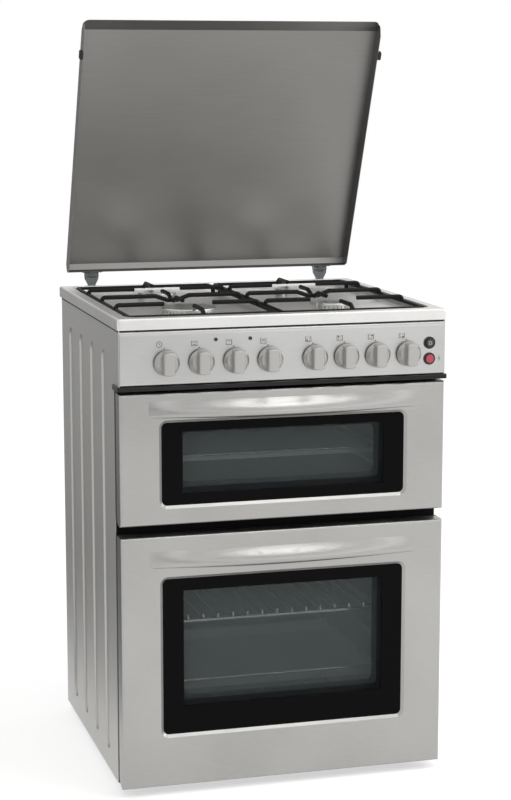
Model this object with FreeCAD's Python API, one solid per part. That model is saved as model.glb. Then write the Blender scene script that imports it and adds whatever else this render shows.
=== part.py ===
import FreeCAD, Part
import math
import os

# Free-standing cooker: gas hob with a hinged lid over two electric ovens.
# Millimetres, +Z up, front faces -Y, origin on the floor under the middle.
# Depths are measured back from the front plane of doors and control panel.

# overall sizes
width = 600.0
bodyDepth = 558.0
footHeight = 16.0
lowerDoorHeight = 457.0
doorGap = 20.0
upperDoorHeight = 234.0
panelGap = 13.0
panelHeight = 98.0
hobRimHeight = 20.0

# sheet thicknesses
cabinetSheet = 1.0
frameSheet = 1.5
panelSheet = 1.2
hobSheet = 1.2
linerSheet = 1.0
skinSheet = 1.2
lidSheet = 1.0

# running and assembly clearances
runClear = 0.15
seatClear = 0.05
slideClear = 0.2
sealClear = 0.3
edgeTol = 0.01

# cabinet
sideInset = 2.0
wingThick = 2.0
wingSetback = 1.5
backInset = 18.0
flangeWidth = 15.0
fluteWidth = 44.0
fluteDepth = 3.0
fluteTaper = 6.0
firstFlute = 130.0
lastFluteInset = 95.0
fluteCount = 4
fluteFoot = 37.0
fluteHead = 48.0
trayWall = 15.0
footRadius = 20.0
footChamfer = 2.0
studRadius = 4.0
studLength = 22.0
footSetback = 70.0
footInset = 60.0

# doors
doorDepth = 38.0
skinDepth = 30.0
doorSideGap = 2.0
doorEdgeRadius = 5.0
sealGap = 4.0
glassInset = 75.0
glassLap = 8.0
glassThick = 4.0
bevelWidth = 5.0
bevelDepth = 4.6
bevelRing = 14.0
glassCorner = 10.0
upperGlassFoot = 34.0
upperGlassHead = 53.0
lowerGlassFoot = 95.0
lowerGlassHead = 78.0
clearSide = 38.0
clearTop = 17.0
upperClearFoot = 26.0
lowerClearFoot = 53.0
innerInset = 8.0
handleInset = 52.0
handleReach = 15.0
handleTall = 31.0
handleEndTall = 30.0
handleSheet = 1.5
handleScoop = 6.0
upperHandleDrop = 13.0
lowerHandleDrop = 26.0
gripSag = 2.5
gripTaper = 1.5
gripShoulder = 3.0
gripEndPower = 8
gripEndReach = 0.4
gripSections = 16
# grip section from top to foot: share of its reach, share of its height
gripProfile = ((0, 0), (0.08, 0.06), (0.22, 0.15), (0.47, 0.29), (0.72, 0.43), (0.91, 0.59), (1, 0.78),
               (0.82, 0.94), (0, 1))

# door hinges
pivotDepth = 12.0
pivotRise = 26.0
hingePinRadius = 4.0
hingePinEnd = 1.0
hingeEyeRadius = 8.0
hingeArmThick = 5.0
hingeArmInset = 28.0
hingeFootThick = 2.0
hingeFootHalf = 12.0
hingeFootRise = 20.0
cheekThick = 2.5
cheekGap = 0.7
cheekHalf = 12.0
carrierWeb = 1.6

# ovens
cavityInset = 77.0
cavityRearSpace = 70.5
cavityCorner = 12.0
cavityFlange = 15.0
lowerCavityFoot = 64.0
lowerCavityHead = 57.0
upperCavityFoot = 39.0
upperCavityHead = 27.0
insulation = 20.0
insulationGap = 0.2
sealWidth = 10.0
sealInset = 4.0
runnerRod = 2.5
runnerPost = 2.2
runnerStud = 1.8
runnerWeld = 1.0
runnerWall = 8.0
runnerFront = 30.0
runnerBack = 30.0
runnerPostInset = 55.0
runnerPostOver = 7.5
lowerRunnerFoot = 95.0
lowerRunnerPitch = 55.0
lowerRunnerCount = 4
upperRunnerFoot = 24.0
upperRunnerPitch = 36.0
upperRunnerCount = 3
shelfRod = 3.5
shelfWire = 2.0
shelfPitch = 28.0
shelfRunnerIndex = 2
shelfFront = 55.0
shelfBack = 40.0
upperTrayIndex = 1
upperTrayDepth = 12.0
lowerTrayIndex = 0
lowerTrayDepth = 20.0
trayRim = 12.0
trayRimDrop = 1.0
elementRod = 3.5
elementDrop = 16.0
elementRise = 15.0
elementInset = 50.0
elementTail = 30.0
elementFront = 66.0
elementBack = 70.0
elementBend = 15.0
tailOut = 26.0
lampRadius = 18.0
lampLens = 12.0
lampRound = 4.0
lampInset = 80.0
lampDrop = 48.0

# control panel
panelTopRadius = 10.0
panelBottomRadius = 4.0
deflectorTall = 8.5
deflectorLip = 2.0
deflectorOver = 1.5
deflectorRound = 1.7
knobDrop = 58.5
leftKnobInset = 86.0
rightKnobInset = 72.0
knobMiddleGap = 82.0
knobPitchStep = 4.0
knobCount = 4
knobGap = 4.0
knobReach = 27.0
knobRadius = 22.5
knobSkirt = 3.0
knobDome = 6.0
knobRimFlat = 0.5
knobDomeRadius = 17.5
knobGripWidth = 19.5
knobGripFoot = 21.3
knobGripTop = 20.0
knobGripRound = 2.5
spindleRadius = 3.0
spindleReach = 18.0
panelHole = 5.5
controlSide = 42.0
controlDepth = 38.0
controlCorner = 3.0
tapRadius = 10.0
tapPush = 3.0
tapBoreEnd = 1.0
spindleTail = 20.0
buttonInset = 32.0
lightButtonDrop = 40.7
sparkButtonDrop = 69.3
buttonRadius = 7.5
buttonReach = 4.5
buttonRound = 1.1
buttonTail = 8.0
bezelRadius = 11.0
bezelThick = 2.0
bezelRound = 1.0
barrelWall = 1.2
barrelLength = 24.0
lampLensRadius = 3.4
lampLensReach = 1.6
lampLensLip = 0.6
lampLensRound = 0.8
lampBodyLength = 14.0
indicatorOffset = 26.0
indicatorDrop = 20.6

# hob
hobCorner = 5.0
hobEdge = 4.2
hobRimWidth = 20.0
hobRecessSlope = 6.0
hobRecessCorner = 26.0
hobFloorDrop = 14.0
burnerInset = 163.0
burnerSetback = 153.0
rapidRadius = 48.0
semiRadius = 36.0
auxRadius = 26.0
spigotInset = 12.0
cupFlange = 7.0
cupDepth = 26.0
spigotRise = 4.0
crownTall = 8.0
crownPort = 2.0
crownPortDepth = 3.0
crownPortTall = 4.0
portPitch = 8.0
capTall = 5.5
capOver = 1.5
capRound = 2.0
electrodeRadius = 2.5
electrodeGap = 5.0
electrodeTall = 10.0
electrodeTail = 16.0
electrodeClear = 0.4

# gas supply
railRadius = 9.0
railDepth = 58.0
railEnd = 18.0
inletInset = 35.0
inletThread = 10.48
inletReach = 17.0
pipeRadius = 3.2
pipeStart = 30.0
lowPipeDrop = 17.3
highPipeDrop = 8.3
pipeBend = 5.4
railBend = 18.0

# pan supports
gridGap = 14.0
gridSide = 4.0
gridFront = 38.0
railRod = 3.0
fingerRod = 4.0
railRise = 9.0
fingerTop = 10.0
fingerTip = 45.0
fingerRun = 14.0
crossDip = 8.0
crossDipHalf = 10.0
crossDipRun = 22.0
rodBend = 6.0
gridFootRadius = 4.0
gridFootInset = 40.0

# lid
lidOpen = 66.5
lidFrontInset = 18.0
lidInset = 14.0
lidFlange = 29.0
lidRearFlange = 18.0
lidRearBend = 9.0
lidLip = 28.0
lidLipAngle = 30.0
lidCorner = 12.0
hingeInset = 5.0
hingeRise = 22.0
lidSetback = 10.0
lidTopRise = 9.0
lidHingeInset = 50.0
lidPinRadius = 3.0
lidEyeRadius = 7.0
lidEyeWidth = 12.0
lidEarWidth = 7.0
lidEarGap = 0.3
lidLeafHalf = 20.0
lidLeafThick = 2.0
lidStemDepth = 9.0
lidStemFoot = 13.0
lidStemShoulder = 2.0
bumperSetback = 57.0
bumperLong = 15.0
bumperOut = 6.0
bumperRound = 1.5
bumperRise = 10.0
bumperClear = 0.4

# rear fittings
screwHead = 3.5
screwHeadTall = 2.0
screwShank = 1.6
screwLength = 7.0
screwInset = 8.0
screwFoot = 60.0
screwTop = 57.0
screwRows = 4
holeClear = 0.1
ventCount = 12
ventPitch = 30.0
ventWide = 6.0
ventTall = 46.0
ventDrop = 50.0
terminalWide = 80.0
terminalTall = 70.0
terminalDepth = 16.0
terminalInset = 87.0
terminalRise = 72.0
glandRadius = 7.0
glandLength = 14.0
sparkBoxWide = 60.0
sparkBoxTall = 34.0
sparkBoxDepth = 28.0
sparkBoxX = -40.0
sparkBoxDrop = 66.0

# levels and planes that follow from the sizes above
frontY = -(bodyDepth - knobReach) / 2
bottomZ = footHeight
lowerTopZ = bottomZ + lowerDoorHeight
upperFootZ = lowerTopZ + doorGap
upperTopZ = upperFootZ + upperDoorHeight
panelFootZ = upperTopZ + panelGap
panelTopZ = panelFootZ + panelHeight
hobTopZ = panelTopZ + hobRimHeight
hobFloorZ = hobTopZ - hobFloorDrop
frameD = doorDepth + sealGap
frameBackD = frameD + frameSheet
backD = bodyDepth - backInset
sideOut = width / 2 - sideInset
sideIn = sideOut - cabinetSheet
panelHalf = sideOut - wingThick - seatClear
doorHalf = width / 2 - doorSideGap
flutePitch = (backD - firstFlute - lastFluteInset) / (fluteCount - 1)
screwPitch = (panelTopZ - bottomZ - screwFoot - screwTop) / (screwRows - 1)
glassHalf = doorHalf - glassInset
handleHalf = doorHalf - handleInset
hingeArmX = doorHalf - hingeArmInset
pivotSweep = doorDepth - pivotDepth
cavityHalf = sideIn - cavityInset
cavityBackD = backD - cavityRearSpace
lowerCavityZ = bottomZ + lowerCavityFoot
lowerCavityTall = lowerDoorHeight - lowerCavityFoot - lowerCavityHead
upperCavityZ = upperFootZ + upperCavityFoot
upperCavityTall = upperDoorHeight - upperCavityFoot - upperCavityHead
runnerX = cavityHalf - runnerWall
knobZ = panelTopZ - knobDrop
knobSteps = knobCount - 1
knobRoom = width - leftKnobInset - rightKnobInset - knobMiddleGap
tapPitch = (knobRoom - knobSteps * knobPitchStep) / (2 * knobSteps)
knobXs = [leftKnobInset - width / 2 + i * (tapPitch + knobPitchStep) for i in range(knobCount)]
tapXs = [width / 2 - rightKnobInset - (knobSteps - i) * tapPitch for i in range(knobCount)]
buttonX = width / 2 - buttonInset
burnerX = width / 2 - burnerInset
frontBurner = burnerSetback
rearBurner = bodyDepth - burnerSetback
inletX = sideIn - inletInset
lidHalf = width / 2 - lidInset
lidHingeX = lidHalf - lidHingeInset
hingeDepth = bodyDepth - hingeInset
lidBackD = hingeDepth - lidSetback
terminalX = terminalInset - sideIn


def at(x, d, z):
    return FreeCAD.Vector(x, frontY + d, z)


def box(x0, x1, d0, d1, z0, z1):
    return Part.makeBox(x1 - x0, d1 - d0, z1 - z0, at(x0, d0, z0))


def barX(x0, x1, d, z, r):
    return Part.makeCylinder(r, x1 - x0, at(x0, d, z), FreeCAD.Vector(1, 0, 0))


def barY(d0, d1, x, z, r):
    return Part.makeCylinder(r, d1 - d0, at(x, d0, z), FreeCAD.Vector(0, 1, 0))


def barZ(z0, z1, x, d, r):
    return Part.makeCylinder(r, z1 - z0, at(x, d, z0), FreeCAD.Vector(0, 0, 1))


def join(shapes):
    shape = shapes[0]
    if len(shapes) > 1:
        shape = shape.multiFuse(shapes[1:])
    return shape.removeSplitter()


def ringWire(points, r):
    # closed polygon with every corner rounded to r
    edges = []
    count = len(points)
    starts = []
    ends = []
    for i in range(count):
        p = points[i]
        a = points[i - 1].sub(p)
        b = points[(i + 1) % count].sub(p)
        cut = r / math.tan(a.getAngle(b) / 2)
        a.normalize()
        b.normalize()
        first = p.add(a.multiply(cut))
        last = p.add(b.multiply(cut))
        mid = first.add(last).multiply(0.5).sub(p)
        reach = mid.Length
        mid.normalize()
        half = first.sub(last).Length / 2
        sag = r - math.sqrt(max(r * r - half * half, 0.0))
        edges.append(Part.Arc(first, p.add(mid.multiply(reach - sag)), last).toShape())
        starts.append(first)
        ends.append(last)
    for i in range(count):
        edges.append(Part.LineSegment(ends[i], starts[(i + 1) % count]).toShape())
    return Part.Wire(Part.__sortEdges__(edges))


def frontRing(x0, x1, z0, z1, r, d):
    return ringWire([at(x0, d, z0), at(x1, d, z0), at(x1, d, z1), at(x0, d, z1)], r)


def planRing(x0, x1, d0, d1, r, z):
    return ringWire([at(x0, d0, z), at(x1, d0, z), at(x1, d1, z), at(x0, d1, z)], r)


def frontBlock(x0, x1, z0, z1, r, d0, d1):
    face = Part.Face(frontRing(x0, x1, z0, z1, r, d0))
    return face.extrude(FreeCAD.Vector(0, d1 - d0, 0))


def planBlock(x0, x1, d0, d1, r, z0, z1):
    face = Part.Face(planRing(x0, x1, d0, d1, r, z0))
    return face.extrude(FreeCAD.Vector(0, 0, z1 - z0))


def sideBlock(x0, x1, points):
    # polygon of (depth, height) pairs extruded across the width
    wire = Part.makePolygon([at(x0, d, z) for d, z in points + points[:1]])
    return Part.Face(wire).extrude(FreeCAD.Vector(x1 - x0, 0, 0))


def rod(points, r, bend):
    # round rod along straight runs joined by tangent arcs
    edges = []
    last = points[0]
    for i in range(1, len(points) - 1):
        p = points[i]
        a = points[i - 1].sub(p)
        b = points[i + 1].sub(p)
        angle = a.getAngle(b)
        cut = bend / math.tan(angle / 2)
        a.normalize()
        b.normalize()
        middle = a.add(b)
        middle.normalize()
        first = p.add(a.multiply(cut))
        second = p.add(b.multiply(cut))
        peak = p.add(middle.multiply(bend / math.sin(angle / 2) - bend))
        if last.distanceToPoint(first) > 1e-6:
            edges.append(Part.LineSegment(last, first).toShape())
        edges.append(Part.Arc(first, peak, second).toShape())
        last = second
    edges.append(Part.LineSegment(last, points[-1]).toShape())
    path = Part.Wire(edges)
    heading = points[1].sub(points[0])
    circle = Part.Wire(Part.makeCircle(r, points[0], heading))
    return path.makePipeShell([circle], True, False)


def edgesAt(shape, test):
    return [e for e in shape.Edges if test(e.BoundBox)]


def mirrorX(shape):
    return shape.mirror(FreeCAD.Vector(0, 0, 0), FreeCAD.Vector(1, 0, 0))


def save(name, shapes):
    solids = []
    for shape in shapes:
        solids.extend(shape.Solids)
    whole = solids[0] if len(solids) == 1 else Part.makeCompound(solids)
    for solid in solids:
        if not solid.isValid():
            print("check", name)
    whole.exportStep("parts/" + name + ".step")
    print(name, len(solids), round(sum(s.Volume for s in solids)))


os.makedirs("parts", exist_ok=True)

# side panels: bent sheet with four vertical pressed flutes
screwSpots = [bottomZ + screwFoot + i * screwPitch for i in range(screwRows)]
screwX = sideOut - screwInset


def fluteSlot(d, spread, x0, x1, wide):
    # tapered slot from the outer face inwards
    z0 = bottomZ + fluteFoot
    z1 = panelTopZ - fluteHead
    wires = []
    for x, w in ((x0, wide), (x1, wide - spread)):
        r = w / 2
        low = z0 + wide / 2
        high = z1 - wide / 2
        a = Part.Arc(at(x, d - r, low), at(x, d, low - r), at(x, d + r, low)).toShape()
        b = Part.LineSegment(at(x, d + r, low), at(x, d + r, high)).toShape()
        c = Part.Arc(at(x, d + r, high), at(x, d, high + r), at(x, d - r, high)).toShape()
        e = Part.LineSegment(at(x, d - r, high), at(x, d - r, low)).toShape()
        wires.append(Part.Wire([a, b, c, e]))
    return Part.makeLoft(wires, True, True)


side = box(sideIn, sideOut, frameD, backD, bottomZ, panelTopZ)
rearFlange = box(sideOut - flangeWidth, sideOut, backD - cabinetSheet, backD, bottomZ, panelTopZ)
# folded edge that comes forward beside the control panel
wing = box(sideOut - wingThick, sideOut, wingSetback, frameD, panelFootZ, panelTopZ)
side = join([side, rearFlange, wing])
for i in range(fluteCount):
    d = firstFlute + i * flutePitch
    inner = fluteSlot(d, fluteTaper, sideOut - cabinetSheet / 2, sideIn - fluteDepth, fluteWidth)
    side = join([side, inner])
for i in range(fluteCount):
    d = firstFlute + i * flutePitch
    outer = fluteSlot(d, fluteTaper, sideOut + seatClear, sideOut - fluteDepth,
                      fluteWidth - 2 * cabinetSheet)
    side = side.cut(outer)
for z in screwSpots:
    side = side.cut(barY(backD - 2 * cabinetSheet, backD + cabinetSheet, screwX, z,
                         screwShank + holeClear))
save("side_panel_right", [side])
save("side_panel_left", [mirrorX(side)])

# back panel with vents and the gas inlet hole
back = box(-sideOut, sideOut, backD, backD + cabinetSheet, bottomZ, panelTopZ)
cuts = []
for z in screwSpots:
    for x in (-screwX, screwX):
        cuts.append(barY(backD - cabinetSheet, backD + 2 * cabinetSheet, x, z,
                         screwShank + holeClear))
for i in range(ventCount):
    x = (i - (ventCount - 1) / 2) * ventPitch
    top = panelTopZ - ventDrop + ventTall / 2
    cuts.append(frontBlock(x - ventWide / 2, x + ventWide / 2, top - ventTall, top,
                           ventWide / 2 - seatClear, backD - cabinetSheet, backD + 2 * cabinetSheet))
cuts.append(barY(backD - cabinetSheet, backD + 2 * cabinetSheet, inletX, knobZ,
                 railRadius + slideClear))
back = back.cut(Part.makeCompound(cuts))
save("back_panel", [back])

# back panel screws
screws = []
for z in screwSpots:
    for x in (-screwX, screwX):
        head = barY(backD + cabinetSheet, backD + cabinetSheet + screwHeadTall, x, z, screwHead)
        shank = barY(backD + cabinetSheet - screwLength, backD + cabinetSheet, x, z, screwShank)
        screws.append(join([head, shank]))
save("cabinet_screws", screws)

# base tray and levelling feet
trayFrontD = frameBackD
trayBackD = backD - cabinetSheet
tray = box(-sideIn, sideIn, trayFrontD, trayBackD, bottomZ, bottomZ + trayWall)
tray = tray.cut(box(-sideIn + cabinetSheet, sideIn - cabinetSheet, trayFrontD + cabinetSheet,
                    trayBackD - cabinetSheet, bottomZ + cabinetSheet, bottomZ + trayWall + cabinetSheet))
feet = []
for x in (-sideOut + footInset, sideOut - footInset):
    for d in (frameD + footSetback, backD - footSetback):
        tray = tray.cut(barZ(bottomZ - cabinetSheet, bottomZ + 2 * cabinetSheet, x, d,
                             studRadius + runClear))
        pad = barZ(0, footHeight, x, d, footRadius)
        rim = edgesAt(pad, lambda b: b.ZMax < edgeTol and b.XLength > footRadius)
        pad = pad.makeChamfer(footChamfer, rim)
        feet.append(join([pad, barZ(footHeight, footHeight + studLength, x, d, studRadius)]))
save("base_tray", [tray])
save("levelling_feet", feet)

# front frame that carries the doors and both oven mouths
frame = box(-sideIn, sideIn, frameD, frameBackD, bottomZ, panelFootZ)
ovens = ((lowerCavityZ, lowerCavityTall), (upperCavityZ, upperCavityTall))
for z, tall in ovens:
    frame = frame.cut(frontBlock(-cavityHalf, cavityHalf, z, z + tall, cavityCorner,
                                 frameD - frameSheet, frameBackD + frameSheet))
save("front_frame", [frame])


# oven liners, insulation, seals
def ovenBlock(z, tall, grow, d0, d1):
    # block of the oven's mouth, grown by the same amount all round
    return frontBlock(-cavityHalf - grow, cavityHalf + grow, z - grow, z + tall + grow,
                      cavityCorner + grow, d0, d1)


liners = []
blankets = []
seals = []
for z, tall in ovens:
    outer = ovenBlock(z, tall, linerSheet, frameBackD, cavityBackD + linerSheet)
    lip = ovenBlock(z, tall, cavityFlange, frameBackD, frameBackD + linerSheet)
    hollow = ovenBlock(z, tall, 0, frameD, cavityBackD)
    liner = join([outer, lip]).cut(hollow)
    near = linerSheet + insulationGap
    far = near + insulation
    blanket = box(-cavityHalf - far, cavityHalf + far, frameBackD + 2 * linerSheet, cavityBackD + far,
                  z - far, z + tall + far)
    blanket = blanket.cut(ovenBlock(z, tall, near, frameD, cavityBackD + near))
    ring = ovenBlock(z, tall, sealInset + sealWidth, doorDepth + sealClear, frameD)
    ring = ring.cut(ovenBlock(z, tall, sealInset, doorDepth, frameD + frameSheet))
    liners.append(liner)
    blankets.append(blanket)
    seals.append(ring)
save("door_seals", seals)

# heating elements: one bent rod under each roof and one over the main oven floor
elementZ = (upperCavityZ + upperCavityTall - elementDrop,
            lowerCavityZ + lowerCavityTall - elementDrop,
            lowerCavityZ + elementRise)
elements = []
for z in elementZ:
    turnD = cavityBackD - elementBack
    noseD = frameBackD + elementFront
    tailD = cavityBackD + linerSheet + tailOut
    elementHalf = cavityHalf - elementInset
    path = [at(-elementTail, tailD, z), at(-elementTail, turnD, z), at(-elementHalf, turnD, z),
            at(-elementHalf, noseD, z), at(elementHalf, noseD, z), at(elementHalf, turnD, z),
            at(elementTail, turnD, z), at(elementTail, tailD, z)]
    elements.append(rod(path, elementRod, elementBend))
    for x in (-elementTail, elementTail):
        hole = barY(cavityBackD - linerSheet, tailD + linerSheet, x, z, elementRod + slideClear)
        liners = [s.cut(hole) for s in liners]
        blankets = [s.cut(hole) for s in blankets]
save("lower_cavity", [liners[0]])
save("upper_cavity", [liners[1]])
save("cavity_insulation", blankets)
save("heating_elements", elements)

# oven lamps on the rear walls
lamps = []
for z, tall in ovens:
    noseD = cavityBackD - lampLens
    lens = barY(noseD, cavityBackD, cavityHalf - lampInset, z + tall - lampDrop, lampRadius)
    rim = edgesAt(lens, lambda b: b.YMax < frontY + noseD + edgeTol and b.XLength > lampRadius)
    lamps.append(lens.makeFillet(lampRound, rim))
save("oven_lamps", lamps)

# wire runners on the side walls
runnerSets = ((lowerCavityZ, lowerRunnerFoot, lowerRunnerPitch, lowerRunnerCount),
              (upperCavityZ, upperRunnerFoot, upperRunnerPitch, upperRunnerCount))
runners = []
levels = []
for z, foot, pitch, count in runnerSets:
    heights = [z + foot + i * pitch for i in range(count)]
    levels.append(heights)
    front = frameBackD + runnerFront
    rear = cavityBackD - runnerBack
    pieces = [barY(front, rear, runnerX, h, runnerRod) for h in heights]
    for d in (front + runnerPostInset, rear - runnerPostInset):
        postX = runnerX + runnerRod + runnerPost - runnerWeld
        pieces.append(barZ(heights[0] - runnerPostOver, heights[-1] + runnerPostOver, postX, d, runnerPost))
        for h in (heights[0] + pitch / 2, heights[-1] - pitch / 2):
            pieces.append(barX(postX, cavityHalf, d, h, runnerStud))
    ladder = join(pieces)
    runners.extend([ladder, mirrorX(ladder)])
save("shelf_runners", runners)

# chromed wire shelf in the main oven
shelfHalf = runnerX - shelfRod - slideClear
touch = runnerRod + shelfRod + seatClear
shelfZ = levels[0][shelfRunnerIndex] + math.sqrt(touch ** 2 - (runnerX - shelfHalf) ** 2)
shelfD0 = frameBackD + shelfFront
shelfD1 = cavityBackD - shelfBack
corners = [at(x, d, shelfZ) for x in (-shelfHalf, shelfHalf) for d in (shelfD0, shelfD1)]
shelf = [barX(-shelfHalf, shelfHalf, d, shelfZ, shelfRod) for d in (shelfD0, shelfD1)]
shelf += [barY(shelfD0, shelfD1, x, shelfZ, shelfRod) for x in (-shelfHalf, shelfHalf)]
shelf += [Part.makeSphere(shelfRod, p) for p in corners]
wireCount = int(2 * (shelfHalf - shelfRod - shelfWire) / shelfPitch)
for i in range(wireCount):
    x = (i - (wireCount - 1) / 2) * shelfPitch
    shelf.append(barY(shelfD0, shelfD1, x, shelfZ + shelfRod - shelfWire / 2, shelfWire))
save("lower_shelf", [join(shelf)])

# enamelled trays: a shallow one on a runner of the top oven, a deeper one low in the main oven
panHalf = runnerX - 2 * runnerRod
rimHalf = runnerX - slideClear
panD0 = shelfD0 + trayRim
panD1 = shelfD1 - trayRim


def makeTray(runnerZ, deep):
    t = trayRimDrop
    z = runnerZ + runnerRod + seatClear
    pan = planBlock(-rimHalf, rimHalf, shelfD0, shelfD1, cavityCorner, z, z + t)
    well = planBlock(-panHalf, panHalf, panD0, panD1, cavityCorner, z - deep, z + t)
    hollow = planBlock(-panHalf + t, panHalf - t, panD0 + t, panD1 - t, cavityCorner - t,
                       z - deep + t, z + 2 * t)
    return join([pan, well]).cut(hollow)


save("oven_trays", [makeTray(levels[1][upperTrayIndex], upperTrayDepth),
                    makeTray(levels[0][lowerTrayIndex], lowerTrayDepth)])


# doors: pressed skin with an integral grip, two panes, liner and hinge carriers
def handleBody(top, half, shrink):
    wires = []
    for i in range(gripSections + 1):
        u = -1 + 2 * i / gripSections
        x = half * u
        bow = 1 - u * u
        tall = handleEndTall + (handleTall - handleEndTall) * bow - 2 * shrink
        swell = gripShoulder * math.sqrt(1 - u ** gripEndPower)
        swell += (handleReach - gripShoulder) * bow ** gripTaper
        out = swell * (1 - shrink / handleReach) + gripEndReach
        head = top - shrink - gripSag * bow
        nose = [at(x, -p * out, head - q * tall) for p, q in gripProfile]
        curve = Part.BSplineCurve()
        curve.interpolate(nose)
        backTop = at(x, skinSheet / 2, head)
        backFoot = at(x, skinSheet / 2, head - tall)
        edges = [Part.LineSegment(backTop, nose[0]).toShape(), curve.toShape(),
                 Part.LineSegment(nose[-1], backFoot).toShape(),
                 Part.LineSegment(backFoot, backTop).toShape()]
        wires.append(Part.Wire(edges))
    return Part.makeLoft(wires, True, False)


def makeDoor(name, z0, tall, glassFoot, glassHead, clearFoot, handleDrop):
    z1 = z0 + tall
    g0 = z0 + glassFoot
    g1 = z1 - glassHead
    pivotZ = z0 + pivotRise
    r = doorEdgeRadius
    skin = box(-doorHalf, doorHalf, 0, skinDepth, z0, z1)
    skin = skin.makeFillet(r, edgesAt(skin, lambda b: b.YMax < frontY + edgeTol))
    hollow = box(-doorHalf + skinSheet, doorHalf - skinSheet, skinSheet, skinDepth + skinSheet,
                 z0 + skinSheet, z1 - skinSheet)
    inside = edgesAt(hollow, lambda b: b.YMax < frontY + skinSheet + edgeTol)
    hollow = hollow.makeFillet(r - skinSheet, inside)
    ring = frontBlock(-glassHalf - bevelRing, glassHalf + bevelRing, g0 - bevelRing, g1 + bevelRing,
                      glassCorner + bevelRing, skinSheet / 2, bevelDepth)
    grip = handleBody(z1 - handleDrop, handleHalf, 0)
    scoop = handleBody(z1 - handleDrop, handleHalf - handleScoop, handleSheet)
    scoop = join([scoop, scoop.translated(FreeCAD.Vector(0, skinSheet, 0))])
    skin = skin.cut(hollow)
    skin = join([skin, ring, grip])
    mouth = Part.makeLoft([frontRing(-glassHalf - bevelWidth, glassHalf + bevelWidth, g0 - bevelWidth,
                                     g1 + bevelWidth, glassCorner + bevelWidth, -seatClear),
                           frontRing(-glassHalf, glassHalf, g0, g1, glassCorner, bevelDepth + seatClear)],
                          True, True)
    skin = skin.cut(scoop).cut(mouth)
    # the back lower corner is cut to the hinge sweep, with slots for the arms
    keep = join([box(-width, width, -width, width, pivotZ, z1 + width),
                 box(-width, width, -width, pivotDepth, z0 - width, pivotZ + seatClear),
                 barX(-width, width, pivotDepth, pivotZ, pivotSweep)])
    slots = []
    slotHalf = hingeArmThick / 2 + cheekGap + cheekThick + hingePinEnd + cheekGap
    for x in (-hingeArmX, hingeArmX):
        slots.append(box(x - slotHalf, x + slotHalf, skinSheet + carrierWeb, frameD, z0 - skinSheet,
                         pivotZ + hingeEyeRadius + 2 * cheekGap))
    slots = Part.makeCompound(slots)
    # rolled foot that closes the door behind the hinge line
    rollHalf = doorHalf - skinSheet
    roll = barX(-rollHalf, rollHalf, pivotDepth, pivotZ, pivotSweep)
    roll = roll.cut(barX(-rollHalf, rollHalf, pivotDepth, pivotZ, pivotSweep - skinSheet))
    roll = roll.common(box(-rollHalf, rollHalf, pivotDepth, doorDepth, z0, pivotZ))
    skin = skin.common(keep).cut(roll).cut(slots)
    save(name + "_door_skin", [skin])
    paneD = bevelDepth
    pane = frontBlock(-glassHalf - glassLap, glassHalf + glassLap, g0 - glassLap, g1 + glassLap,
                      glassCorner, paneD, paneD + glassThick)
    save(name + "_outer_glass", [pane])
    # liner pan at the oven side, with a spacer wall that holds the outer pane
    plateD = doorDepth - skinSheet
    c0 = g0 + clearFoot
    c1 = g1 - clearTop
    ch = glassHalf - clearSide
    plate = box(-doorHalf, doorHalf, skinDepth, doorDepth, z0, z1)
    plate = plate.cut(box(-doorHalf + skinSheet, doorHalf - skinSheet, skinDepth - skinSheet, plateD,
                          z0 + skinSheet, z1 - skinSheet))
    wallOut = glassHalf + glassLap / 2
    wall = frontBlock(-wallOut, wallOut, g0 - glassLap / 2, g1 + glassLap / 2, glassCorner,
                      paneD + glassThick, plateD)
    wall = wall.cut(frontBlock(-wallOut + skinSheet, wallOut - skinSheet, g0 - glassLap / 2 + skinSheet,
                               g1 + glassLap / 2 - skinSheet, glassCorner - skinSheet, paneD, plateD))
    plate = join([plate, wall])
    opening = frontBlock(-ch + innerInset, ch - innerInset, c0 + innerInset, c1 - innerInset, glassCorner,
                         paneD, doorDepth + skinSheet)
    plate = plate.cut(opening).common(keep)
    plate = join([plate, roll]).cut(slots)
    save(name + "_door_liner", [plate])
    inner = frontBlock(-ch, ch, c0, c1, glassCorner, plateD - glassThick, plateD)
    save(name + "_inner_glass", [inner])
    # riveted hinge carriers: two cheeks, a web on the skin and the pin
    carriers = []
    half = hingeArmThick / 2 + cheekGap
    for x in (-hingeArmX, hingeArmX):
        web = box(x - half - cheekThick, x + half + cheekThick, skinSheet, skinSheet + carrierWeb,
                  pivotZ - cheekHalf, pivotZ + cheekHalf)
        parts = [web]
        for s in (-1, 1):
            x0 = min(x + s * half, x + s * (half + cheekThick))
            cheek = box(x0, x0 + cheekThick, skinSheet, pivotDepth, pivotZ - cheekHalf, pivotZ + cheekHalf)
            parts.append(cheek)
            parts.append(barX(x0, x0 + cheekThick, pivotDepth, pivotZ, hingeEyeRadius))
        pinHalf = half + cheekThick + hingePinEnd
        parts.append(barX(x - pinHalf, x + pinHalf, pivotDepth, pivotZ, hingePinRadius))
        carriers.append(join(parts))
    save(name + "_door_hinges", carriers)
    # fixed arms on the front frame
    arms = []
    for x in (-hingeArmX, hingeArmX):
        t = hingeArmThick / 2
        arm = join([box(x - t, x + t, pivotDepth, frameD, pivotZ - hingeEyeRadius, pivotZ + hingeEyeRadius),
                    barX(x - t, x + t, pivotDepth, pivotZ, hingeEyeRadius),
                    box(x - hingeFootHalf, x + hingeFootHalf, frameD - hingeFootThick, frameD,
                        pivotZ - hingeEyeRadius, pivotZ + hingeFootRise)])
        arms.append(arm.cut(barX(x - 2 * t, x + 2 * t, pivotDepth, pivotZ, hingePinRadius + runClear)))
    return arms


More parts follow.
